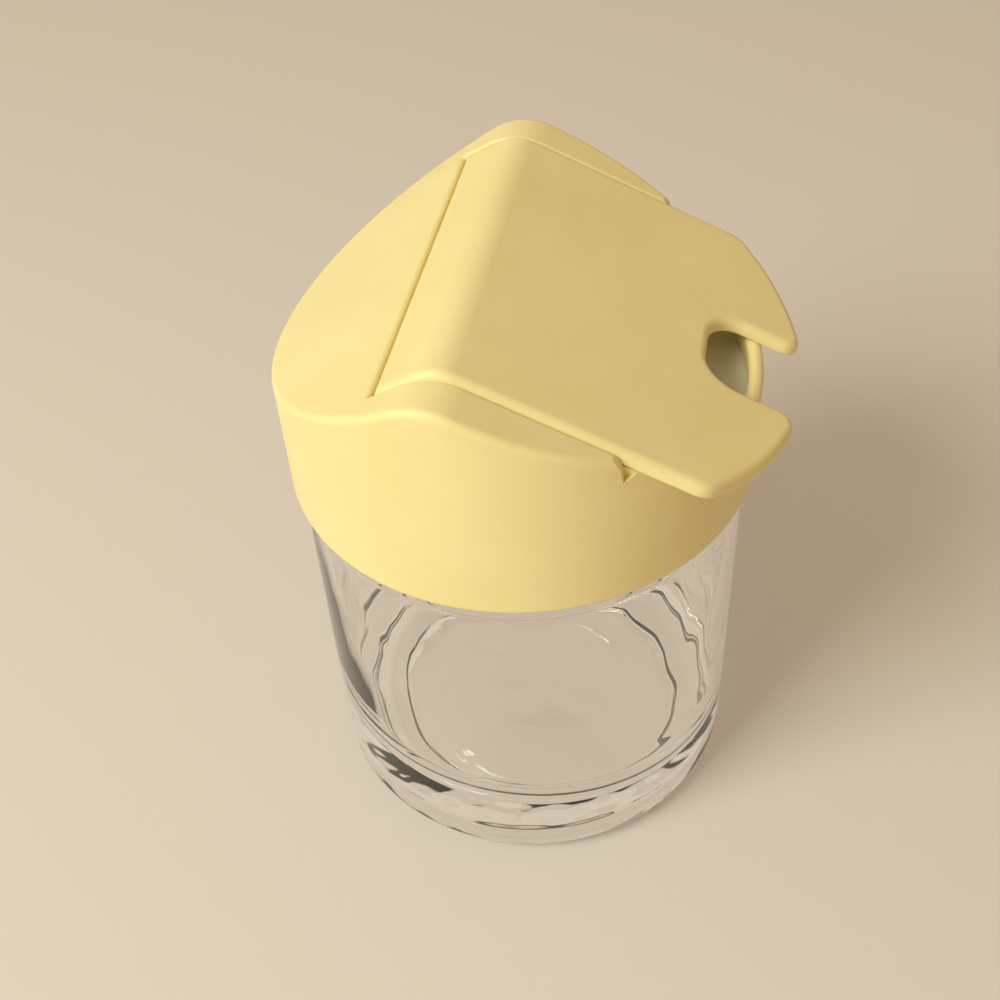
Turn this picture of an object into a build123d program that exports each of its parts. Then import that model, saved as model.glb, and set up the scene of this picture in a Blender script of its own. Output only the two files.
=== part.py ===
"""Sugar dispenser with a flap lid: glass jar, sealing ring, gabled screw cap and hinged pouring flap.

Frame: origin at the middle of the jar's foot, +Z up, the spoon notch of the flap towards -Y,
the flap's hinge line along X. All sizes in millimetres.
"""
from build123d import *
from math import cos, radians, sin, sqrt, tan
import os

# ---------------------------------------------------------------- driving dimensions
# jar
jar_radius = 39.5          # outside of the glass body
jar_wall = 3.2
base_thickness = 10.0      # glass under the sugar
shoulder_height = 72.7     # flat shoulder the skirt stops above
shoulder_width = 3.1       # from the body's outside in to the neck
neck_wall = 3.2
neck_height = 14.1         # shoulder to rim
heel_round = 4.5           # outside corner of the foot
floor_round = 13.0         # inside corner of the foot
shoulder_round = 2.4
throat_slope = 4.0         # height of the cone between the body's bore and the neck's bore
punt_depth = 1.4           # hollow under the foot
foot_width = 4.0           # width of the ring the jar stands on
rim_round = 1.0

# sealing ring
seal_thickness = 1.6
seal_lip_depth = 2.6       # how far the lip reaches down the neck
seal_lip_wall = 1.2

# cap
thread_room = 2.6          # radial space between neck and skirt for the threads
cap_wall = 2.0
roof_wall = 2.2
skirt_gap = 0.8            # skirt's lower edge above the shoulder
seal_step = 0.5            # step in the bore that presses on the ring
lip_rise = 4.67            # front lip above the sealing ring, at the wall's inside
ridge_back = 6.0           # ridge line behind the jar's axis
rear_slope = 30.8          # degrees
front_slope = 24.4         # degrees
ridge_round = 10.5
eave_round = 1.2
lip_round = 1.1            # front wall's upper edges, under the flap
skirt_round = 0.6
cheek_width = 7.75         # solid cap beside the flap, measured at the axis
cheek_edge_round = 0.5     # cheek's upper edge along the flap
web_wall = 1.8             # inner wall of each cheek
web_skirt = 16.0           # webs reach this far above the skirt's lower edge
ledge_width = 1.5          # shelf under the flap's long sides
ledge_wall = 1.5
cheek_end_run = 1.8        # small V between cheek and front lip: its bottom behind the lip's end
cheek_end_depth = 1.1      # how far the V goes below the lip
cheek_end_lean = 8.7       # degrees, the cheek's side of the V
cheek_end_round = 3.5      # where that side meets the cheek's slope

# flap
flap_thickness = 2.2
flap_rise = 0.55           # how far the flap's front slope stands above the cheeks
flap_ridge_round = 6.0
flap_overhang = 6.5        # ears beyond the cap's wall
flap_edge_round = 1.6      # upper edges
flap_under_round = 0.4     # lower edges
ear_round = 4.0            # corner between straight side and curved front
notch_width = 16.0
notch_depth = 16.2         # spoon notch, from the flap's front
notch_round = 5.5          # inner corners of the notch
notch_tip_round = 3.0

# hinge
slit_back = 14.2           # flap's rear edge behind the axis, on the roof's surface
pivot_depth = 2.0          # pivot line below the roof's surface
barrel_radius = 2.4
pin_radius = 1.3
pin_tip_chamfer = 0.3

# clearances
side_gap = 0.25            # flap to cheek
seat_gap = 0.1             # flap's underside to front lip and ledges
barrel_gap = 0.3           # barrel to the roof's edge
slit_edge_round = 0.8      # roof's edge along the slit
pin_gap = 0.05             # pin to socket, radial
pin_end_gap = 0.2
seal_bore_gap = 0.3        # sealing ring to the skirt's bore
seal_neck_gap = 0.3        # sealing ring's lip to the neck's bore

# ---------------------------------------------------------------- derived places
rim_height = shoulder_height + neck_height
neck_radius = jar_radius - shoulder_width
skirt_bottom = shoulder_height + skirt_gap
seal_top = rim_height + seal_thickness
neck_bore = neck_radius - neck_wall
cap_bore = neck_radius + thread_room
cap_radius = cap_bore + cap_wall
upper_bore = cap_bore - seal_step
channel_half = cap_radius - cheek_width
mouth_half = channel_half - ledge_width
flap_half = channel_half - side_gap
flap_reach = cap_radius + flap_overhang
rear = radians(rear_slope)
front = radians(front_slope)
under_drop = flap_thickness - flap_rise    # flap's underside, below the cheeks' front plane
seat_drop = under_drop + seat_gap          # lip and ledges, below the same plane
# sharp ridge of the two roof planes, as high as the front plane gets from the lip
ridge_height = seal_top + lip_rise + (ridge_back + upper_bore) * tan(front) + seat_drop / cos(front)
above_all = ridge_height + cap_radius


def ridge_point(rear_drop, front_drop):
    """Where the two roof planes meet once they sink by these amounts, as (y, z)."""
    turn = sin(rear + front)
    dy = (front_drop * cos(rear) - rear_drop * cos(front)) / turn
    dz = -(front_drop * sin(rear) + rear_drop * sin(front)) / turn
    return ridge_back + dy, ridge_height + dz


def front_height(y, drop):
    """Height at y of the front plane sunk by drop."""
    return ridge_height - (ridge_back - y) * tan(front) - drop / cos(front)


def rear_height(y, drop):
    """Height at y of the rear plane sunk by drop."""
    return ridge_height - (y - ridge_back) * tan(rear) - drop / cos(rear)


def roof_spot(behind, depth):
    """Point (y, z) this far behind the flap's rear edge along the roof, and this deep below it."""
    edge = rear_height(slit_back, 0)
    y = slit_back + behind * cos(rear) - depth * sin(rear)
    z = edge - behind * sin(rear) - depth * cos(rear)
    return y, z


# the flap's rear corner is where its flat top cuts the barrel
corner_behind_pivot = sqrt(barrel_radius ** 2 - pivot_depth ** 2)
pivot = roof_spot(-corner_behind_pivot, pivot_depth)
roof_edge = barrel_radius + barrel_gap - corner_behind_pivot


def gable_outline(drop, reach, floor):
    """Side view of the gable sunk by drop: flat floor, upright ends and the two slopes."""
    return [
        (-reach, floor),
        (-reach, front_height(-reach, drop)),
        ridge_point(drop, drop),
        (reach, rear_height(reach, drop)),
        (reach, floor),
    ]


def gable_depth(edge):
    """How far an edge's middle is below the sharp gable."""
    y, z = edge.center().Y, edge.center().Z
    return min(front_height(y, 0), rear_height(y, 0)) - z


# ---------------------------------------------------------------- jar
with BuildPart() as jar:
    body_bore = jar_radius - jar_wall
    punt_radius = jar_radius - heel_round - foot_width
    with BuildSketch(Plane.XZ):
        with BuildLine():
            Polyline(
                (0, punt_depth),
                (punt_radius - punt_depth, punt_depth),
                (punt_radius, 0),
                (jar_radius, 0),
                (jar_radius, shoulder_height),
                (neck_radius, shoulder_height),
                (neck_radius, rim_height),
                (neck_bore, rim_height),
                (neck_bore, shoulder_height),
                (body_bore, shoulder_height - throat_slope),
                (body_bore, base_thickness),
                (0, base_thickness),
                close=True,
            )
        make_face()
        fillet(vertices().sort_by_distance((jar_radius, 0))[0], heel_round)
        fillet(vertices().sort_by_distance((body_bore, base_thickness))[0], floor_round)
        shoulder = vertices().sort_by_distance((jar_radius, shoulder_height))[0]
        fillet(shoulder, min(shoulder_round, 0.8 * shoulder_width))
        rim = vertices().filter_by_position(Axis.Y, rim_height, rim_height)
        fillet(rim, min(rim_round, 0.45 * neck_wall))
    revolve(axis=Axis.Z)

# ---------------------------------------------------------------- sealing ring
with BuildPart() as seal_ring:
    ring_outer = cap_bore - seal_bore_gap
    lip_outer = neck_bore - seal_neck_gap
    lip_inner = lip_outer - seal_lip_wall
    with BuildSketch(Plane.XZ):
        with BuildLine():
            Polyline(
                (lip_inner, rim_height - seal_lip_depth),
                (lip_outer, rim_height - seal_lip_depth),
                (lip_outer, rim_height),
                (ring_outer, rim_height),
                (ring_outer, seal_top),
                (lip_inner, seal_top),
                close=True,
            )
        make_face()
    revolve(axis=Axis.Z)

# ---------------------------------------------------------------- the cap's hollow, as one solid
with BuildPart() as cap_hollow:
    with BuildSketch(Plane.YZ):
        with BuildLine():
            Polyline(*gable_outline(roof_wall, cap_radius, skirt_bottom), close=True)
        make_face()
        fillet(vertices().sort_by(Axis.Y)[-1], max(ridge_round - roof_wall, 0.5))
    extrude(amount=cap_radius, both=True)
    with BuildSketch(Plane.XY.offset(skirt_bottom)):
        Circle(upper_bore)
    extrude(amount=above_all, mode=Mode.INTERSECT)
    # the webs and the shelves stay, so they come out of the hollow
    with BuildSketch(Plane.XY.offset(skirt_bottom + web_skirt)):
        for side in (-1, 1):
            with Locations((side * (channel_half + web_wall / 2), 0)):
                Rectangle(web_wall, 2 * cap_radius)
    extrude(amount=above_all, mode=Mode.SUBTRACT)
    for side in (-1, 1):
        with BuildSketch(Plane.YZ.offset(side * channel_half)):
            with BuildLine():
                Polyline(
                    (0, front_height(0, seat_drop)),
                    (0, front_height(0, seat_drop + ledge_wall)),
                    (-cap_radius, front_height(-cap_radius, seat_drop + ledge_wall)),
                    (-cap_radius, front_height(-cap_radius, seat_drop)),
                    close=True,
                )
            make_face()
        extrude(amount=-side * ledge_width, mode=Mode.SUBTRACT)
    # wider bore below the step, for the ring and the threads
    with BuildSketch(Plane.XY.offset(skirt_bottom)):
        Circle(cap_bore)
    extrude(amount=seal_top - skirt_bottom)

# ---------------------------------------------------------------- cap
with BuildPart() as cap:
    with BuildSketch(Plane.YZ):
        with BuildLine():
            Polyline(*gable_outline(0, cap_radius, skirt_bottom), close=True)
        make_face()
        fillet(vertices().sort_by(Axis.Y)[-1], ridge_round)
    extrude(amount=cap_radius, both=True)
    with BuildSketch(Plane.XY.offset(skirt_bottom)):
        Circle(cap_radius)
    extrude(amount=above_all, mode=Mode.INTERSECT)
    wall = faces().filter_by(GeomType.CYLINDER).sort_by(SortBy.AREA)[-1]
    eaves = wall.edges().filter_by(GeomType.LINE, reverse=True).sort_by(Axis.Z)[1:]
    fillet(eaves, eave_round)
    add(cap_hollow.part, mode=Mode.SUBTRACT)
    # channel for the flap, open to the front
    edge_low = roof_spot(roof_edge, pivot_depth + barrel_radius)
    edge_high = roof_spot(roof_edge, -cap_radius)
    with BuildSketch(Plane.YZ):
        with BuildLine():
            Polyline(
                (-flap_reach, front_height(-flap_reach, seat_drop)),
                (0, front_height(0, seat_drop)),
                (0, edge_low[1]),
                edge_low,
                edge_high,
                (-flap_reach, edge_high[1]),
                close=True,
            )
        make_face()
    extrude(amount=channel_half, both=True, mode=Mode.SUBTRACT)
    # mouth under the flap, between the ledges and behind the front lip
    with BuildSketch(Plane.XY.offset(seal_top)):
        Circle(upper_bore)
        Rectangle(2 * mouth_half, upper_bore, align=(Align.CENTER, Align.MAX), mode=Mode.INTERSECT)
    extrude(amount=above_all, mode=Mode.SUBTRACT)
    # front lip rounded inside and outside, and the ledges along the mouth
    lip_front = front_height(-cap_radius, seat_drop)
    seat = faces().filter_by(GeomType.PLANE).sort_by_distance((0, -cap_radius, lip_front))[0]
    mouth_edges = seat.edges().filter_by(lambda edge: abs(edge.center().X) < mouth_half + 0.25 * ledge_width)
    lip_limit = min(0.45 * (cap_wall + seal_step), 0.75 * ledge_width, 0.75 * ledge_wall, 0.4 * lip_rise)
    fillet(mouth_edges, min(lip_round, lip_limit))
    # roof's edge along the slit
    slit_y, slit_z = roof_spot(roof_edge, 0)
    slit_edge = edges().filter_by(Axis.X).sort_by_distance((0, slit_y, slit_z))[0]
    fillet(slit_edge, min(slit_edge_round, 0.45 * roof_wall))
    # small V where each cheek ends and the front lip begins, rounded where it meets the cheek's slope
    lip_end = sqrt(cap_radius ** 2 - channel_half ** 2)
    lip_height = front_height(-lip_end, seat_drop)
    v_y = cheek_end_run - lip_end
    v_z = lip_height - cheek_end_depth
    lean = tan(radians(cheek_end_lean))
    cheek_end_height = (front_height(v_y, 0) - v_z) / (1 - lean * tan(front))
    cheek_end = (v_y + lean * cheek_end_height, v_z + cheek_end_height)
    for side in (-1, 1):
        with BuildSketch(Plane.YZ.offset(side * (mouth_half + 0.85 * ledge_width))):
            with BuildLine():
                Polyline(
                    (-lip_end, lip_height),
                    (v_y, v_z),
                    cheek_end,
                    (0, front_height(0, -cheek_end_depth)),
                    (0, above_all),
                    (-lip_end, above_all),
                    close=True,
                )
            make_face()
            fillet(vertices().sort_by_distance(cheek_end)[0], cheek_end_round)
        extrude(amount=side * cap_radius, mode=Mode.SUBTRACT)
    # cheeks' upper edges along the flap
    beside_flap = edges().filter_by(lambda edge: abs(abs(edge.center().X) - channel_half) < 0.001)
    lines = beside_flap.filter_by(GeomType.LINE).filter_by(lambda edge: gable_depth(edge) < 0.5 * seat_drop)
    arcs = beside_flap.filter_by(GeomType.CIRCLE).filter_by(lambda edge: edge.center().Y > 0)
    fillet(lines + arcs, min(cheek_edge_round, 0.2 * cheek_end_round))
    # sockets for the flap's pins, through the webs only
    with BuildSketch(Plane.YZ):
        with Locations(pivot):
            Circle(pin_radius + pin_gap)
    extrude(amount=channel_half + web_wall, both=True, mode=Mode.SUBTRACT)
    skirt = faces().filter_by(GeomType.PLANE).group_by(Axis.Z)[0]
    fillet(skirt.edges(), min(skirt_round, 0.4 * cap_wall))

# ---------------------------------------------------------------- flap
with BuildPart() as flap:
    top_ridge = ridge_point(0, -flap_rise)
    low_ridge = ridge_point(flap_thickness, under_drop)
    # side view: bent plate with a barrel along its rear edge, level with the roof
    with BuildSketch(Plane.YZ):
        with BuildLine():
            Polyline(
                (-flap_reach, front_height(-flap_reach, -flap_rise)),
                top_ridge,
                roof_spot(0, 0),
                pivot,
                roof_spot(-corner_behind_pivot, flap_thickness),
                low_ridge,
                (-flap_reach, front_height(-flap_reach, under_drop)),
                close=True,
            )
        make_face()
        fillet(vertices().sort_by_distance(top_ridge)[0], flap_ridge_round)
        fillet(vertices().sort_by_distance(low_ridge)[0], max(flap_ridge_round - flap_thickness, 0.5))
        with Locations(pivot):
            Circle(barrel_radius)
        with BuildLine():
            Polyline(
                roof_spot(-2 * barrel_radius, 0),
                roof_spot(barrel_radius, 0),
                roof_spot(barrel_radius, -barrel_radius),
                roof_spot(-2 * barrel_radius, -barrel_radius),
                close=True,
            )
        make_face(mode=Mode.SUBTRACT)
    extrude(amount=flap_half, both=True)
    # plan view: straight sides, curved front with rounded ears, U-shaped spoon notch
    notch_end = notch_depth - flap_reach
    with BuildSketch(Plane.XY):
        Circle(flap_reach)
        Rectangle(2 * flap_half, 4 * flap_reach, mode=Mode.INTERSECT)
        fillet(vertices().group_by(Axis.Y)[0], ear_round)
        with Locations((0, notch_end)):
            Rectangle(notch_width, 2 * notch_depth, align=(Align.CENTER, Align.MAX), mode=Mode.SUBTRACT)
        fillet(vertices().filter_by_position(Axis.Y, notch_end, notch_end), min(notch_round, 0.45 * notch_width))
        fillet(vertices().group_by(Axis.Y)[0], notch_tip_round)
    extrude(amount=above_all, mode=Mode.INTERSECT)
    tops = faces().filter_by(lambda face: face.normal_at().Z > 0.5)
    fillet(tops.edges().filter_by(Axis.X, reverse=True), flap_edge_round)
    unders = faces().filter_by(GeomType.PLANE).filter_by(lambda face: face.normal_at().Z < -0.5)
    fillet(unders.edges().filter_by(Axis.X, reverse=True), flap_under_round)
    # pins that snap into the cheeks
    pin_tip = channel_half + web_wall - pin_end_gap
    with BuildSketch(Plane.YZ):
        with Locations(pivot):
            Circle(pin_radius)
    extrude(amount=pin_tip, both=True)
    tips = faces().filter_by(Axis.X).group_by(Axis.X)
    chamfer(tips[0].edges() + tips[-1].edges(), pin_tip_chamfer)

# ---------------------------------------------------------------- files
os.makedirs("parts", exist_ok=True)
jar.part.label = "jar"
seal_ring.part.label = "seal_ring"
cap.part.label = "cap"
flap.part.label = "flap"
for piece in (jar, seal_ring, cap, flap):
    export_step(piece.part, f"parts/{piece.part.label}.step")
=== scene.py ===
"""Dressed scene of the sugar dispenser: glass with its neck thread, cap thread, finishes, light and camera.

Frame: metres, origin at the middle of the jar's foot, +Z up, spoon notch towards -Y, hinge line along X.
Sizes in the classes are millimetres unless their docstring says otherwise.
"""
import logging
from dataclasses import dataclass
from enum import Enum
from math import acos, atan2, degrees, hypot, pi, radians, tan
from typing import Sequence, Union

import bmesh
import bpy
from mathutils import Matrix, Vector


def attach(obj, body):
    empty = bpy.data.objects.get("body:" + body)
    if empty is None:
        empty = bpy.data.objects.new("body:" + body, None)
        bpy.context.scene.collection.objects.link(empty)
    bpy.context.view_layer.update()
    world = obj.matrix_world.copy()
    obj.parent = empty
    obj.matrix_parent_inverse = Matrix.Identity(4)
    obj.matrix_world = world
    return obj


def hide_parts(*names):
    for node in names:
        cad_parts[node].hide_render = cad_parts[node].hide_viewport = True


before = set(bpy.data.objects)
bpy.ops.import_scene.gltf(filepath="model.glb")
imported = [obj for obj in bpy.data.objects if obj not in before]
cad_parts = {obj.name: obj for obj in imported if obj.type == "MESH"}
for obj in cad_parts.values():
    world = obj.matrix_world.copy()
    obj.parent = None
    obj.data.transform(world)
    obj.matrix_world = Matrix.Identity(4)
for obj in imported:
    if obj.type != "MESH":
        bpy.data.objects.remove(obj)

log = logging.getLogger("sugar_dispenser")
MM = 0.001  # metres
WELD = 1e-4  # millimetres within which two vertices are one
NEAR = 1e-3  # millimetres within which two lengths are the same
Colour = tuple[float, float, float]
Triple = tuple[float, float, float]
Value = Union["Field", float, Sequence[float]]


class Slot(Enum):
    """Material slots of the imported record."""

    GLASS = "clear_glass"
    CAP = "cap_plastic"


class Body(Enum):
    """Moving bodies that carry pieces of this scene."""

    JAR = "jar"
    CAP = "cap"


class Ray(Enum):
    """Kinds of ray that a backdrop can answer in its own way."""

    CAMERA = "Is Camera Ray"
    GLASS = "Is Transmission Ray"
    GLOSS = "Is Glossy Ray"


# ---------------------------------------------------------------- shader maths
class Field:
    """A value that varies over a surface, so that shader sums read as Python expressions."""

    def __init__(self, shading: "Shading", socket: bpy.types.NodeSocket) -> None:
        """Wraps one output socket of a node tree.

        Args:
            shading: the shading whose tree holds the socket.
            socket: the output to wrap.
        """
        self.shading = shading
        self.socket = socket

    def _math(self, operation: str, first: Value, second: Value) -> "Field":
        """Adds one Math node."""
        return self.shading.node("ShaderNodeMath", {"operation": operation}, {0: first, 1: second})

    def __add__(self, other: Value) -> "Field":
        """This field plus another."""
        return self._math("ADD", self, other)

    def __sub__(self, other: Value) -> "Field":
        """This field less another."""
        return self._math("SUBTRACT", self, other)

    def __rsub__(self, other: Value) -> "Field":
        """Another value less this field."""
        return self._math("SUBTRACT", other, self)

    def __mul__(self, other: Value) -> "Field":
        """This field times another."""
        return self._math("MULTIPLY", self, other)

    def __or__(self, other: Value) -> "Field":
        """The larger of this field and another."""
        return self._math("MAXIMUM", self, other)

    __radd__ = __add__
    __rmul__ = __mul__

    def rise(self, low: float, high: float) -> "Field":
        """0 below low, 1 above high and smooth between."""
        sockets = {"Value": self, "From Min": low, "From Max": high}
        return self.shading.node("ShaderNodeMapRange", {"interpolation_type": "SMOOTHSTEP"}, sockets)

    def tint(self, low: Colour, high: Colour) -> "Field":
        """The colour between low, where this field is 0, and high, where it is 1."""
        sockets = {"Factor": self, "A": (*low, 1.0), "B": (*high, 1.0)}
        return self.shading.node("ShaderNodeMix", {"data_type": "RGBA"}, sockets, "Result")


class Shading:
    """The node tree of a material or a world."""

    def __init__(self, tree: bpy.types.NodeTree) -> None:
        """Takes the tree."""
        self.tree = tree

    def node(self, kind: str, settings: dict[str, object], sockets: dict[Union[int, str], Value],
             output: Union[int, str] = 0) -> Field:
        """Adds any node.

        Args:
            kind: node type.
            settings: its properties, set before its sockets.
            sockets: a value or a field for each input that is used.
            output: which output to return.

        Returns:
            The chosen output.
        """
        node = self.tree.nodes.new(kind)
        for key, value in settings.items():
            setattr(node, key, value)
        for key, value in sockets.items():
            if isinstance(value, Field):
                self.tree.links.new(value.socket, node.inputs[key])
            else:
                node.inputs[key].default_value = value
        return Field(self, node.outputs[output])

    def backdrop(self, lit: Field, plain: Field, shares: dict[Ray, float]) -> Field:
        """Shows a plain shader to some rays in place of the lit one.

        Args:
            lit: what all other rays meet.
            plain: what these rays meet.
            shares: for each kind of ray, the share of the plain shader that it meets.

        Returns:
            The mixed shader.
        """
        masks = [self.node("ShaderNodeLightPath", {}, {}, ray.value) * share for ray, share in shares.items()]
        return self.node("ShaderNodeMixShader", {}, {0: sum(masks[1:], masks[0]), 1: lit, 2: plain})


class Surface(Shading):
    """A node material around one Principled shader."""

    def __init__(self, name: str, **constants: object) -> None:
        """Makes the material.

        Args:
            name: material name.
            constants: values of the shader's own sockets, with _ for the spaces in their names.
        """
        self.material = bpy.data.materials.new(name)
        self.material.use_nodes = True
        super().__init__(self.material.node_tree)
        self.shader = self.tree.nodes["Principled BSDF"]
        for socket, value in constants.items():
            self.shader.inputs[socket.replace("_", " ")].default_value = value
        self.place = self.node("ShaderNodeTexCoord", {}, {}, "Object")

    def noise(self, size: float, detail: float = 2.0, stretch: Triple = (1, 1, 1),
              turn: Triple = (0, 0, 0)) -> Field:
        """Cloudy noise between 0 and 1.

        Args:
            size: how large its features are.
            detail: how many finer layers it has.
            stretch: scale of the pattern along each axis; less than 1 draws it out.
            turn: turn of the pattern about each axis, in radians.

        Returns:
            The noise.
        """
        spot = self.node("ShaderNodeMapping", {}, {"Vector": self.place, "Rotation": turn, "Scale": stretch})
        return self.node("ShaderNodeTexNoise", {}, {"Vector": spot, "Scale": 1.0 / (size * MM), "Detail": detail})

    def axis_distance(self) -> Field:
        """Distance from the jar's axis, in millimetres."""
        flat = self.node("ShaderNodeVectorMath", {"operation": "MULTIPLY"}, {0: self.place, 1: (1 / MM, 1 / MM, 0)})
        return self.node("ShaderNodeVectorMath", {"operation": "LENGTH"}, {0: flat}, "Value")

    def height(self) -> Field:
        """Height above the foot, in millimetres."""
        return self.node("ShaderNodeSeparateXYZ", {}, {0: self.place}, "Z") * (1 / MM)

    def feed(self, socket: str, value: Field) -> None:
        """Lets a field drive one of the shader's sockets."""
        self.tree.links.new(value.socket, self.shader.inputs[socket])

    def relief(self, height: Field) -> None:
        """Raises the surface by a field of heights in millimetres."""
        self.feed("Normal", self.node("ShaderNodeBump", {}, {"Height": height, "Distance": MM}))

    def show(self, shader: Field) -> None:
        """Puts a shader in place of the Principled one at the material's output."""
        self.tree.links.new(shader.socket, self.tree.nodes["Material Output"].inputs["Surface"])


@dataclass(frozen=True)
class Patches:
    """Noise with its contrast drawn out, between 0 and 1.

    Args:
        size: how large the patches are.
        detail: how many finer layers they have.
        low: noise below which there is none.
        high: noise above which they are full.
        stretch: scale of the pattern along each axis; less than 1 draws it out.
        turn: turn of the pattern about each axis, in radians.
    """

    size: float
    detail: float
    low: float
    high: float
    stretch: Triple = (1, 1, 1)
    turn: Triple = (0, 0, 0)

    def over(self, surface: Surface) -> Field:
        """Spreads the patches over a surface.

        Args:
            surface: where they go.

        Returns:
            How full they are.
        """
        return surface.noise(self.size, self.detail, self.stretch, self.turn).rise(self.low, self.high)


@dataclass(frozen=True)
class Swell:
    """Uneven height of a surface.

    Args:
        size: how wide the swells are.
        depth: how deep they are.
        detail: how many finer layers they have.
        stretch: scale of the pattern along each axis; less than 1 draws it out.
    """

    size: float
    depth: float
    detail: float = 1
    stretch: Triple = (1, 1, 1)

    def over(self, surface: Surface) -> Field:
        """Spreads the swells over a surface.

        Args:
            surface: where they go.

        Returns:
            Their height.
        """
        return surface.noise(self.size, self.detail, self.stretch) * self.depth


@dataclass(frozen=True)
class PlasticFinish:
    """Satin moulded plastic with faint clouding, fine scratches, handling marks and a moulded grain.

    Args:
        name: material name.
        light: colour where the plastic is palest, linear.
        deep: colour where it is deepest, linear.
        gloss: roughness of the polished mould.
        dull: roughness where hands have dulled it.
        scratch_dull: roughness that a scratch adds.
        clouds: clouding of the colour.
        marks: handling marks.
        marks_tint: share of the handling marks in the colour.
        scratches: scratches along the flap and across it.
        grain: the moulded grain.
        marks_depth: depth of the handling marks.
        scratch_depth: depth of the scratches.
    """

    name: str
    light: Colour
    deep: Colour
    gloss: float = 0.46
    dull: float = 0.54
    scratch_dull: float = 0.06
    clouds: Patches = Patches(24, 3, 0.3, 0.7)
    marks: Patches = Patches(7, 5, 0.46, 0.72, stretch=(1, 0.45, 1))
    marks_tint: float = 0.2
    scratches: tuple[Patches, Patches] = (
        Patches(0.5, 2, 0.62, 0.74, stretch=(1, 0.04, 1), turn=(0, 0, 0.5)),
        Patches(0.6, 2, 0.64, 0.76, stretch=(0.05, 1, 1), turn=(0, 0, 0.25)),
    )
    grain: Swell = Swell(0.35, 0.0072)
    marks_depth: float = 0.0024
    scratch_depth: float = 0.006

    def material(self) -> bpy.types.Material:
        """Makes the material.

        Returns:
            The finished material.
        """
        surface = Surface(self.name, Subsurface_Weight=0.12, Subsurface_Radius=(1.0, 0.7, 0.25),
                          Subsurface_Scale=0.0035, IOR=1.49)
        marks = self.marks.over(surface)
        along, across = (patches.over(surface) for patches in self.scratches)
        scratches = along | across
        shade = self.clouds.over(surface) * (1 - self.marks_tint) + marks * self.marks_tint
        surface.feed("Base Color", shade.tint(self.deep, self.light))
        surface.feed("Roughness", marks * (self.dull - self.gloss) + self.gloss + scratches * self.scratch_dull)
        surface.relief(self.grain.over(surface) + marks * self.marks_depth - scratches * self.scratch_depth)
        return surface.material


@dataclass(frozen=True)
class GlassFinish:
    """Clear pressed glass, wavy inside and smoother outside, with faint smears.

    Args:
        name: material name.
        tint: colour of the light let through.
        inside: distances from the axis over which the inside gives way to the outside.
        waves: broad waves of the inside.
        ripples: small ripples on both sides.
        dimples: uneven punt under the base.
        punt_edge: distances from the axis over which the dimples die away.
        punt_top: heights over which they die away.
        polish: roughness of the clean glass.
        smears: smears of both sides.
        smear_dull: roughness that they add.
        punt_dull: roughness that the punt adds.
    """

    name: str
    tint: Colour
    inside: tuple[float, float] = (37.4, 37.8)
    waves: Swell = Swell(20, 0.42, stretch=(1, 1, 0.6))
    ripples: Swell = Swell(8, 0.06, stretch=(1, 1, 0.5))
    dimples: Swell = Swell(4.5, 0.42, detail=0)
    punt_edge: tuple[float, float] = (27.0, 29.5)
    punt_top: tuple[float, float] = (3.5, 4.0)
    polish: float = 0.004
    smears: Patches = Patches(9, 6, 0.56, 0.8)
    smear_dull: float = 0.04
    punt_dull: float = 0.05

    def material(self) -> bpy.types.Material:
        """Makes the material.

        Returns:
            The finished material.
        """
        surface = Surface(self.name, Base_Color=(*self.tint, 1.0), Transmission_Weight=1.0, IOR=1.51)
        out = surface.axis_distance()
        within = 1 - out.rise(*self.inside)
        punt = (1 - surface.height().rise(*self.punt_top)) * (1 - out.rise(*self.punt_edge))
        waves, ripples, dimples = (swell.over(surface) for swell in (self.waves, self.ripples, self.dimples))
        surface.feed("Roughness", self.smears.over(surface) * self.smear_dull + punt * self.punt_dull + self.polish)
        surface.relief(waves * within + ripples + dimples * punt)
        return surface.material


@dataclass(frozen=True)
class SealFinish:
    """Soft, milky sealing rubber with a little dust on it.

    Args:
        name: material name.
        clean: its own colour, linear.
        dusty: its colour under the dust.
        dull: roughness of the clean rubber.
        dust: patches of dust.
        dust_dull: roughness that dust adds.
        grain: its grain.
    """

    name: str
    clean: Colour
    dusty: Colour
    dull: float = 0.5
    dust: Patches = Patches(3, 4, 0.35, 0.7)
    dust_dull: float = 0.15
    grain: Swell = Swell(0.5, 0.01, detail=2)

    def material(self) -> bpy.types.Material:
        """Makes the material.

        Returns:
            The finished material.
        """
        surface = Surface(self.name, Subsurface_Weight=0.2, Subsurface_Radius=(1.0, 0.9, 0.7), Subsurface_Scale=0.002)
        dust = self.dust.over(surface)
        surface.feed("Base Color", dust.tint(self.clean, self.dusty))
        surface.feed("Roughness", dust * self.dust_dull + self.dull)
        surface.relief(self.grain.over(surface))
        return surface.material


@dataclass(frozen=True)
class FloorPaint:
    """Plain pale paint that also shows evenly through the glass.

    Args:
        name: material name.
        colour: its colour, linear.
        plain: how it looks in the light, linear.
        seen: share of that plain look in what the camera sees, which keeps the shadow.
        mirrored: the same for glass and gloss.
        dull: roughness of the paint.
    """

    name: str
    colour: Colour
    plain: Colour
    seen: float = 0.25
    mirrored: float = 0.38
    dull: float = 0.7

    def material(self) -> bpy.types.Material:
        """Makes the material.

        Returns:
            The finished material.
        """
        surface = Surface(self.name, Base_Color=(*self.colour, 1.0), Roughness=self.dull)
        paint = Field(surface, surface.shader.outputs[0])
        plain = surface.node("ShaderNodeEmission", {}, {"Color": (*self.plain, 1.0)})
        shares = {Ray.CAMERA: self.seen, Ray.GLASS: self.mirrored, Ray.GLOSS: self.mirrored}
        surface.show(surface.backdrop(paint, plain, shares))
        return surface.material


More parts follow.
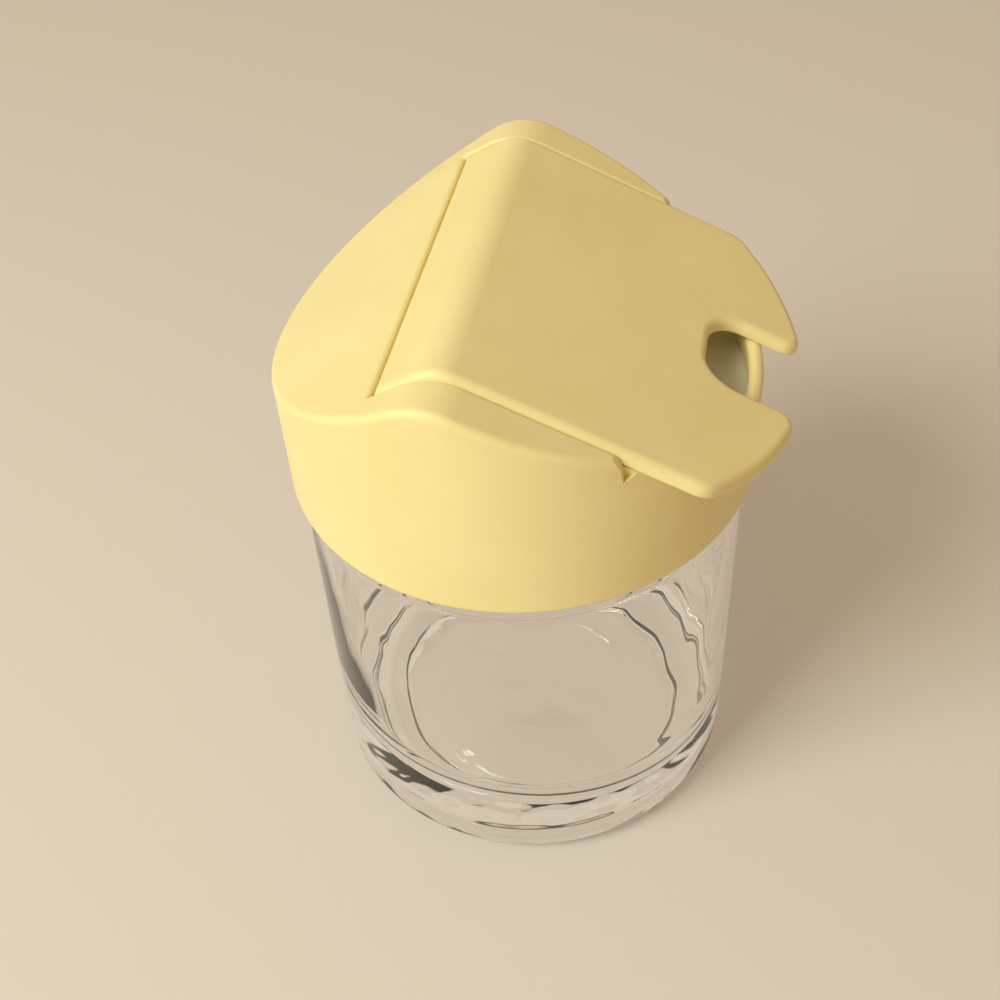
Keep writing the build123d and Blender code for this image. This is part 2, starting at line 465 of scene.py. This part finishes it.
@dataclass(frozen=True)
class RoomLight:
    """Even light from all round, with a plain pale backdrop for the camera, glass and gloss.

    Args:
        name: world name.
        light: colour of the light.
        strength: strength of the light.
        plain: colour of the backdrop, linear.
        mirrored: share of the backdrop in what glass and gloss see.
    """

    name: str
    light: Colour
    strength: float
    plain: Colour
    mirrored: float = 0.6

    def world(self) -> bpy.types.World:
        """Makes the world.

        Returns:
            The finished world.
        """
        world = bpy.data.worlds.new(self.name)
        world.use_nodes = True
        shading = Shading(world.node_tree)
        lit = shading.node("ShaderNodeBackground", {}, {"Color": (*self.light, 1.0), "Strength": self.strength})
        plain = shading.node("ShaderNodeBackground", {}, {"Color": (*self.plain, 1.0)})
        shares = {Ray.CAMERA: 1.0, Ray.GLASS: self.mirrored, Ray.GLOSS: self.mirrored}
        shown = shading.backdrop(lit, plain, shares)
        shading.tree.links.new(shown.socket, shading.tree.nodes["World Output"].inputs["Surface"])
        return world


# ---------------------------------------------------------------- modelling helpers
def ease(value: float) -> float:
    """Smooth step of a value clamped to 0 to 1."""
    value = max(0.0, min(1.0, value))
    return value * value * (3 - 2 * value)


def reach(vert: bmesh.types.BMVert) -> float:
    """Distance of a vertex from the Z axis."""
    return hypot(vert.co.x, vert.co.y)


def near(value: float, target: float) -> bool:
    """Whether two lengths are the same but for rounding errors."""
    return abs(value - target) < NEAR


def push_out(vert: bmesh.types.BMVert, share: float) -> None:
    """Moves a vertex away from the Z axis by a share of its distance."""
    vert.co += Vector((vert.co.x, vert.co.y, 0)) * share


def finish_piece(name: str, form: bmesh.types.BMesh) -> bpy.types.Object:
    """Turns a shape in millimetres into a smooth object in metres.

    Args:
        name: object name.
        form: the shape; it is used up.

    Returns:
        The object, at the origin.
    """
    bmesh.ops.remove_doubles(form, verts=form.verts, dist=WELD)
    bmesh.ops.recalc_face_normals(form, faces=form.faces)
    bmesh.ops.scale(form, vec=(MM, MM, MM), verts=form.verts)
    for face in form.faces:
        face.smooth = True
    mesh = bpy.data.meshes.new(name)
    form.to_mesh(mesh)
    form.free()
    piece = bpy.data.objects.new(name, mesh)
    bpy.context.scene.collection.objects.link(piece)
    log.info("piece %s: %d faces", name, len(mesh.polygons))
    return piece


def dress(piece: bpy.types.Object, material: bpy.types.Material) -> None:
    """Puts one material over the whole of a piece."""
    piece.data.materials.clear()
    piece.data.materials.append(material)
    log.info("dressed %s in %s", piece.name, material.name)


# ---------------------------------------------------------------- thread
@dataclass(frozen=True)
class Thread:
    """A right-handed ridge around the Z axis.

    Args:
        start_z: height of its centre at angle 0.
        first: angle at which it starts, in degrees.
        last: angle at which it ends.
        lead: rise in one turn.
        crest: width of its flat top.
        foot: width of its foot.
        height: how far it stands out.
        run_out: degrees over which it grows from nothing at each end.
    """

    start_z: float
    first: float
    last: float
    lead: float = 5.0
    crest: float = 0.9
    foot: float = 2.3
    height: float = 1.6
    run_out: float = 35.0

    def centre(self, angle: float) -> float:
        """Height of the ridge's centre at an angle in degrees."""
        return self.start_z + self.lead * angle / 360

    def angle_at(self, spot: Vector) -> float:
        """Angle, counted over all turns, of the turn of the ridge that is nearest to a spot in height."""
        angle = degrees(atan2(spot.y, spot.x)) % 360
        return angle + 360 * round((spot.z - self.centre(angle)) / self.lead)

    def swell(self, angle: float) -> float:
        """Share of its full height that the ridge has at an angle."""
        return ease((angle - self.first) / self.run_out) * ease((self.last - angle) / self.run_out)

    def rise(self, spot: Vector) -> float:
        """How far the ridge stands out at a spot on the wall that carries it."""
        angle = self.angle_at(spot)
        off = abs(spot.z - self.centre(angle))
        return self.height * self.swell(angle) * ease((self.foot / 2 - off) / (self.foot / 2 - self.crest / 2))


# ---------------------------------------------------------------- jar
@dataclass(frozen=True)
class Jar:
    """The pressed glass jar with its neck thread.

    Args:
        radius: outside radius of the body.
        wall: thickness of its wall.
        base: thickness of the base where wall and floor would meet.
        shoulder_z: height of the shoulder.
        neck_radius: outside radius of the neck.
        neck_wall: thickness of the neck.
        rim_z: height of the rim.
        heel_round: rounding between wall and foot.
        floor_round: rounding between inside wall and floor.
        shoulder_round: rounding of the shoulder's edge.
        throat_slope: height over which the inside narrows to the neck.
        throat_round: rounding at both ends of that slope.
        floor_dish: how much deeper the inside floor is in its middle.
        dish_radius: radius of that flat middle.
        dish_round: rounding around it.
        punt_depth: depth of the hollow under the base at its edge.
        punt_dome: how much higher it is in its middle.
        punt_rings: rings of faces in its dome.
        punt_round: rounding at the dome's edge.
        foot_width: width of the ring that the jar stands on.
        rim_round: rounding of the rim.
        crease_round: rounding of the small creases.
        support: distance of supporting edges from the roundings.
        floor_slip: how far off the axis the inside floor stands, along X and Y.
        steps: segments of a full turn.
        fewest_segments: segments of the smallest rounding.
        most_segments: segments of the largest.
        segments_per_mm: segments that each millimetre of rounding adds.
        thread_cuts: rings cut into the neck for the thread.
        thread: the neck's thread.
    """

    radius: float = 39.5
    wall: float = 3.2
    base: float = 10.0
    shoulder_z: float = 72.7
    neck_radius: float = 36.4
    neck_wall: float = 3.2
    rim_z: float = 86.8
    heel_round: float = 4.5
    floor_round: float = 13.0
    shoulder_round: float = 2.4
    throat_slope: float = 4.0
    throat_round: float = 2.5
    floor_dish: float = 2.5
    dish_radius: float = 14.0
    dish_round: float = 5.0
    punt_depth: float = 1.4
    punt_dome: float = 1.9
    punt_rings: int = 7
    punt_round: float = 1.0
    foot_width: float = 4.0
    rim_round: float = 1.0
    crease_round: float = 0.4
    support: float = 0.5
    floor_slip: tuple[float, float] = (0.8, -3.4)
    steps: int = 240
    fewest_segments: int = 3
    most_segments: int = 15
    segments_per_mm: int = 3
    thread_cuts: int = 44
    thread: Thread = Thread(start_z=76.2, first=0, last=540)

    @property
    def bore(self) -> float:
        """Inside radius of the body."""
        return self.radius - self.wall

    @property
    def floor_z(self) -> float:
        """Height of the middle of the inside floor."""
        return self.base - self.floor_dish

    @property
    def corners(self) -> list[Triple]:
        """Corners of the half section as radius, height and rounding, from the punt to the inside floor."""
        punt = self.radius - self.heel_round - self.foot_width
        dome_edge = punt - self.punt_depth
        neck_bore = self.neck_radius - self.neck_wall
        rings = [ring / self.punt_rings for ring in range(self.punt_rings)]
        return [
            *((dome_edge * out, self.punt_depth + self.punt_dome * (1 - out * out), 0) for out in rings),
            (dome_edge, self.punt_depth, self.punt_round),
            (punt, 0, self.crease_round),
            (self.radius, 0, self.heel_round),
            (self.radius, self.shoulder_z, self.shoulder_round),
            (self.neck_radius, self.shoulder_z, self.crease_round),
            (self.neck_radius, self.rim_z, self.rim_round),
            (neck_bore, self.rim_z, self.rim_round),
            (neck_bore, self.shoulder_z, self.throat_round),
            (self.bore, self.shoulder_z - self.throat_slope, self.throat_round),
            (self.bore, self.base, self.floor_round),
            (self.dish_radius, self.floor_z, self.dish_round),
            (0, self.floor_z, 0),
        ]

    def turned(self) -> bmesh.types.BMesh:
        """Spins the half section once round.

        Returns:
            The shape, with sharp corners.
        """
        form = bmesh.new()
        verts = [form.verts.new((x, 0, z)) for x, z, _ in self.corners]
        edges = [form.edges.new(pair) for pair in zip(verts, verts[1:])]
        bmesh.ops.spin(form, geom=verts + edges, cent=(0, 0, 0), axis=(0, 0, 1), angle=2 * pi, steps=self.steps,
                       use_merge=True)
        bmesh.ops.remove_doubles(form, verts=form.verts, dist=WELD)
        return form

    def round_corners(self, form: bmesh.types.BMesh) -> None:
        """Bevels each ring of edges to its own rounding."""
        for before, here, after in zip(self.corners, self.corners[1:], self.corners[2:]):
            x, z, rounding = here
            if not rounding:
                continue
            back = Vector((before[0] - x, before[1] - z)).normalized()
            ahead = Vector((after[0] - x, after[1] - z)).normalized()
            ring = [edge for edge in form.edges if all(near(reach(v), x) and near(v.co.z, z) for v in edge.verts)]
            segments = min(self.most_segments, self.fewest_segments + round(self.segments_per_mm * rounding))
            bmesh.ops.bevel(form, geom=ring, offset=rounding / tan(acos(back.dot(ahead)) / 2), offset_type="OFFSET",
                            segments=segments, profile=0.5, affect="EDGES", material=-1)

    def support_walls(self, form: bmesh.types.BMesh) -> None:
        """Cuts rings close to the roundings, which keep the shading of the straight walls straight."""
        heights = (self.heel_round + self.support, self.base + self.floor_round + self.support,
                   self.shoulder_z - self.throat_slope - self.throat_round,
                   self.shoulder_z - self.shoulder_round - self.support, self.rim_z - self.rim_round - self.support)
        for height in heights:
            geom = list(form.verts) + list(form.edges) + list(form.faces)
            bmesh.ops.bisect_plane(form, geom=geom, dist=WELD, plane_co=(0, 0, height), plane_no=(0, 0, 1))
        disc = [face for face in form.faces if all(abs(v.co.z - self.floor_z) < WELD for v in face.verts)]
        bmesh.ops.inset_region(form, faces=disc, thickness=self.support, use_even_offset=True)

    def raise_thread(self, form: bmesh.types.BMesh) -> None:
        """Cuts the neck's wall finely and pushes the thread out of it."""
        uprights = [edge for edge in form.edges if all(near(reach(v), self.neck_radius) for v in edge.verts)
                    and abs(edge.verts[0].co.z - edge.verts[1].co.z) > 2 * self.support]
        bmesh.ops.subdivide_edges(form, edges=uprights, cuts=self.thread_cuts)
        for vert in [v for v in form.verts if near(reach(v), self.neck_radius)]:
            push_out(vert, self.thread.rise(vert.co) / self.neck_radius)

    def slip_floor(self, form: bmesh.types.BMesh) -> None:
        """Moves the inside floor a little off the axis, as the plunger left it."""
        for vert in form.verts:
            if self.floor_z - NEAR < vert.co.z < self.shoulder_z and reach(vert) < self.bore + NEAR:
                vert.co += Vector((*self.floor_slip, 0)) * (1 - ease((vert.co.z - self.base) / self.floor_round))

    def build(self) -> bpy.types.Object:
        """Makes the glass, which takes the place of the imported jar.

        Returns:
            The glass piece.
        """
        form = self.turned()
        self.round_corners(form)
        self.support_walls(form)
        self.raise_thread(form)
        self.slip_floor(form)
        glass = finish_piece("jar_glass", form)
        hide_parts("jar")
        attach(glass, Body.JAR.value)
        return glass

    def dress(self, finish: GlassFinish) -> None:
        """Builds the glass and gives it its finish."""
        dress(self.build(), finish.material())


# ---------------------------------------------------------------- cap, flap and seal
@dataclass(frozen=True)
class Cap:
    """The gabled screw cap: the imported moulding, and the thread inside its skirt.

    Args:
        node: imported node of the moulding.
        bore: inside radius of the skirt.
        sunk: how far the thread reaches into the skirt's wall.
        steps: segments of the thread.
        thin_end: share of its height that the thread keeps at its ends.
        edge_round: rounding of the thread's edges.
        edge_segments: segments of that rounding.
        edge_angle: angle in degrees above which an edge is rounded.
        thread: the skirt's thread.
    """

    node: str = "cap"
    bore: float = 39.0
    sunk: float = 0.3
    steps: int = 200
    thin_end: float = 0.02
    edge_round: float = 0.2
    edge_segments: int = 2
    edge_angle: float = 25
    thread: Thread = Thread(start_z=73.7, first=150, last=540)

    def sweep_thread(self) -> bmesh.types.BMesh:
        """Spins the ridge's section up its helix.

        Returns:
            The ridge at its full height from end to end.
        """
        ridge = self.thread
        section = (
            (self.bore + self.sunk, -ridge.foot / 2),
            (self.bore, -ridge.foot / 2),
            (self.bore - ridge.height, -ridge.crest / 2),
            (self.bore - ridge.height, ridge.crest / 2),
            (self.bore, ridge.foot / 2),
            (self.bore + self.sunk, ridge.foot / 2),
        )
        form = bmesh.new()
        verts = [form.verts.new((x, 0, ridge.centre(ridge.first) + z)) for x, z in section]
        edges = [form.edges.new((verts[k - 1], verts[k])) for k in range(len(verts))]
        bmesh.ops.rotate(form, verts=verts, cent=(0, 0, 0), matrix=Matrix.Rotation(radians(ridge.first), 3, "Z"))
        climb = ridge.centre(ridge.last) - ridge.centre(ridge.first)
        bmesh.ops.spin(form, geom=verts + edges, cent=(0, 0, 0), axis=(0, 0, 1), dvec=(0, 0, climb / self.steps),
                       angle=radians(ridge.last - ridge.first), steps=self.steps)
        bmesh.ops.holes_fill(form, edges=[edge for edge in form.edges if edge.is_boundary], sides=len(section))
        return form

    def run_out(self, form: bmesh.types.BMesh) -> None:
        """Lets the ridge sink into the wall at both ends."""
        for vert in [v for v in form.verts if reach(v) < self.bore - self.thread.height / 2]:
            sunk = 1 - max(self.thin_end, self.thread.swell(self.thread.angle_at(vert.co)))
            push_out(vert, (self.bore / reach(vert) - 1) * sunk)

    def build_thread(self) -> bpy.types.Object:
        """Makes the thread inside the skirt.

        Returns:
            The thread piece.
        """
        form = self.sweep_thread()
        self.run_out(form)
        piece = finish_piece("cap_thread", form)
        bevel = piece.modifiers.new("soft_edges", "BEVEL")
        bevel.width = self.edge_round * MM
        bevel.segments = self.edge_segments
        bevel.limit_method = "ANGLE"
        bevel.angle_limit = radians(self.edge_angle)
        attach(piece, Body.CAP.value)
        return piece

    def dress(self, finish: PlasticFinish) -> None:
        """Gives the moulding and its thread one finish."""
        plastic = finish.material()
        dress(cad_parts[self.node], plastic)
        dress(self.build_thread(), plastic)


@dataclass(frozen=True)
class Flap:
    """The hinged pouring flap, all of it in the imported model."""

    node: str = "flap"

    def dress(self, finish: PlasticFinish) -> None:
        """Gives the flap its finish."""
        dress(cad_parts[self.node], finish.material())


@dataclass(frozen=True)
class SealRing:
    """The ring between the jar's rim and the cap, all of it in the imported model."""

    node: str = "seal_ring"

    def dress(self, finish: SealFinish) -> None:
        """Gives the ring its finish."""
        dress(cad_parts[self.node], finish.material())


# ---------------------------------------------------------------- studio
@dataclass(frozen=True)
class Lamp:
    """A soft square lamp that points at the dispenser; places and sizes in metres.

    Args:
        name: object name.
        at: where it hangs.
        size: length of its sides.
        power: its power in watts.
        colour: colour of its light.
        aim: the spot it points at.
    """

    name: str
    at: Triple
    size: float
    power: float
    colour: Colour
    aim: Triple = (0.0, 0.0, 0.06)

    def hang(self) -> None:
        """Hangs the lamp."""
        data = bpy.data.lights.new(self.name, "AREA")
        data.size = self.size
        data.energy = self.power
        data.color = self.colour
        lamp = bpy.data.objects.new(self.name, data)
        way = Vector(self.aim) - Vector(self.at)
        lamp.matrix_world = Matrix.Translation(self.at) @ way.to_track_quat("-Z", "Y").to_matrix().to_4x4()
        bpy.context.scene.collection.objects.link(lamp)


@dataclass(frozen=True)
class Studio:
    """Plain pale floor, soft light from the rear left of the camera, and the camera; all in metres.

    Args:
        camera_at: where the camera stands.
        camera_towards: the spot it points at.
        camera_roll: its roll about its line of sight, in radians.
        lens: focal length in millimetres.
        sensor: sensor width in millimetres.
        near_clip: distance from which the camera sees.
        floor_half: half the floor's width.
        floor_drop: gap between the foot and the floor.
        floor_paint: finish of the floor.
        room: light from all round.
        window: the one lamp.
    """

    camera_at: Triple = (-0.17589, -0.03786, 0.23672)
    camera_towards: Triple = (0.0, 0.00466, 0.05742)
    camera_roll: float = -0.0642
    lens: float = 49.02
    sensor: float = 36.0
    near_clip: float = 0.01
    floor_half: float = 3.0
    floor_drop: float = 0.00005
    floor_paint: FloorPaint = FloorPaint("floor_paint", colour=(0.75, 0.68, 0.59), plain=(0.70, 0.59, 0.46))
    room: RoomLight = RoomLight("room", light=(1.0, 0.73, 0.50), strength=0.41, plain=(0.72, 0.63, 0.52))
    window: Lamp = Lamp("window", at=(-0.52, 0.47, 0.72), size=0.42, power=8.0, colour=(0.94, 1.0, 0.95))

    def set_camera(self) -> None:
        """Sets the camera where it looks down over the flap from the side."""
        data = bpy.data.cameras.new("camera")
        data.lens = self.lens
        data.sensor_width = self.sensor
        data.clip_start = self.near_clip
        camera = bpy.data.objects.new("camera", data)
        way = Vector(self.camera_towards) - Vector(self.camera_at)
        turn = way.to_track_quat("-Z", "Y").to_matrix().to_4x4() @ Matrix.Rotation(self.camera_roll, 4, "Z")
        camera.matrix_world = Matrix.Translation(self.camera_at) @ turn
        bpy.context.scene.collection.objects.link(camera)
        bpy.context.scene.camera = camera

    def lay_floor(self) -> None:
        """Lays a wide plain floor."""
        form = bmesh.new()
        bmesh.ops.create_grid(form, x_segments=1, y_segments=1, size=self.floor_half / MM,
                              matrix=Matrix.Translation((0, 0, -self.floor_drop / MM)))
        floor = finish_piece("floor", form)
        dress(floor, self.floor_paint.material())

    def build(self) -> None:
        """Sets the whole studio."""
        self.set_camera()
        self.lay_floor()
        self.window.hang()
        bpy.context.scene.world = self.room.world()
        bpy.context.scene.view_settings.view_transform = "Standard"


def main() -> None:
    """Builds the dressed dispenser and its studio."""
    logging.basicConfig(level=logging.INFO)
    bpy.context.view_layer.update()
    butter_light, butter_deep = (0.93, 0.80, 0.38), (0.89, 0.745, 0.33)
    Jar().dress(GlassFinish("pressed_glass", tint=(0.975, 0.965, 0.945)))
    SealRing().dress(SealFinish("milky_rubber", clean=(0.80, 0.78, 0.70), dusty=(0.70, 0.68, 0.60)))
    Cap().dress(PlasticFinish("butter_cap", butter_light, butter_deep))
    Flap().dress(PlasticFinish("butter_flap", butter_light, butter_deep, gloss=0.48))
    Studio().build()


if __name__ == "__main__":
    main()
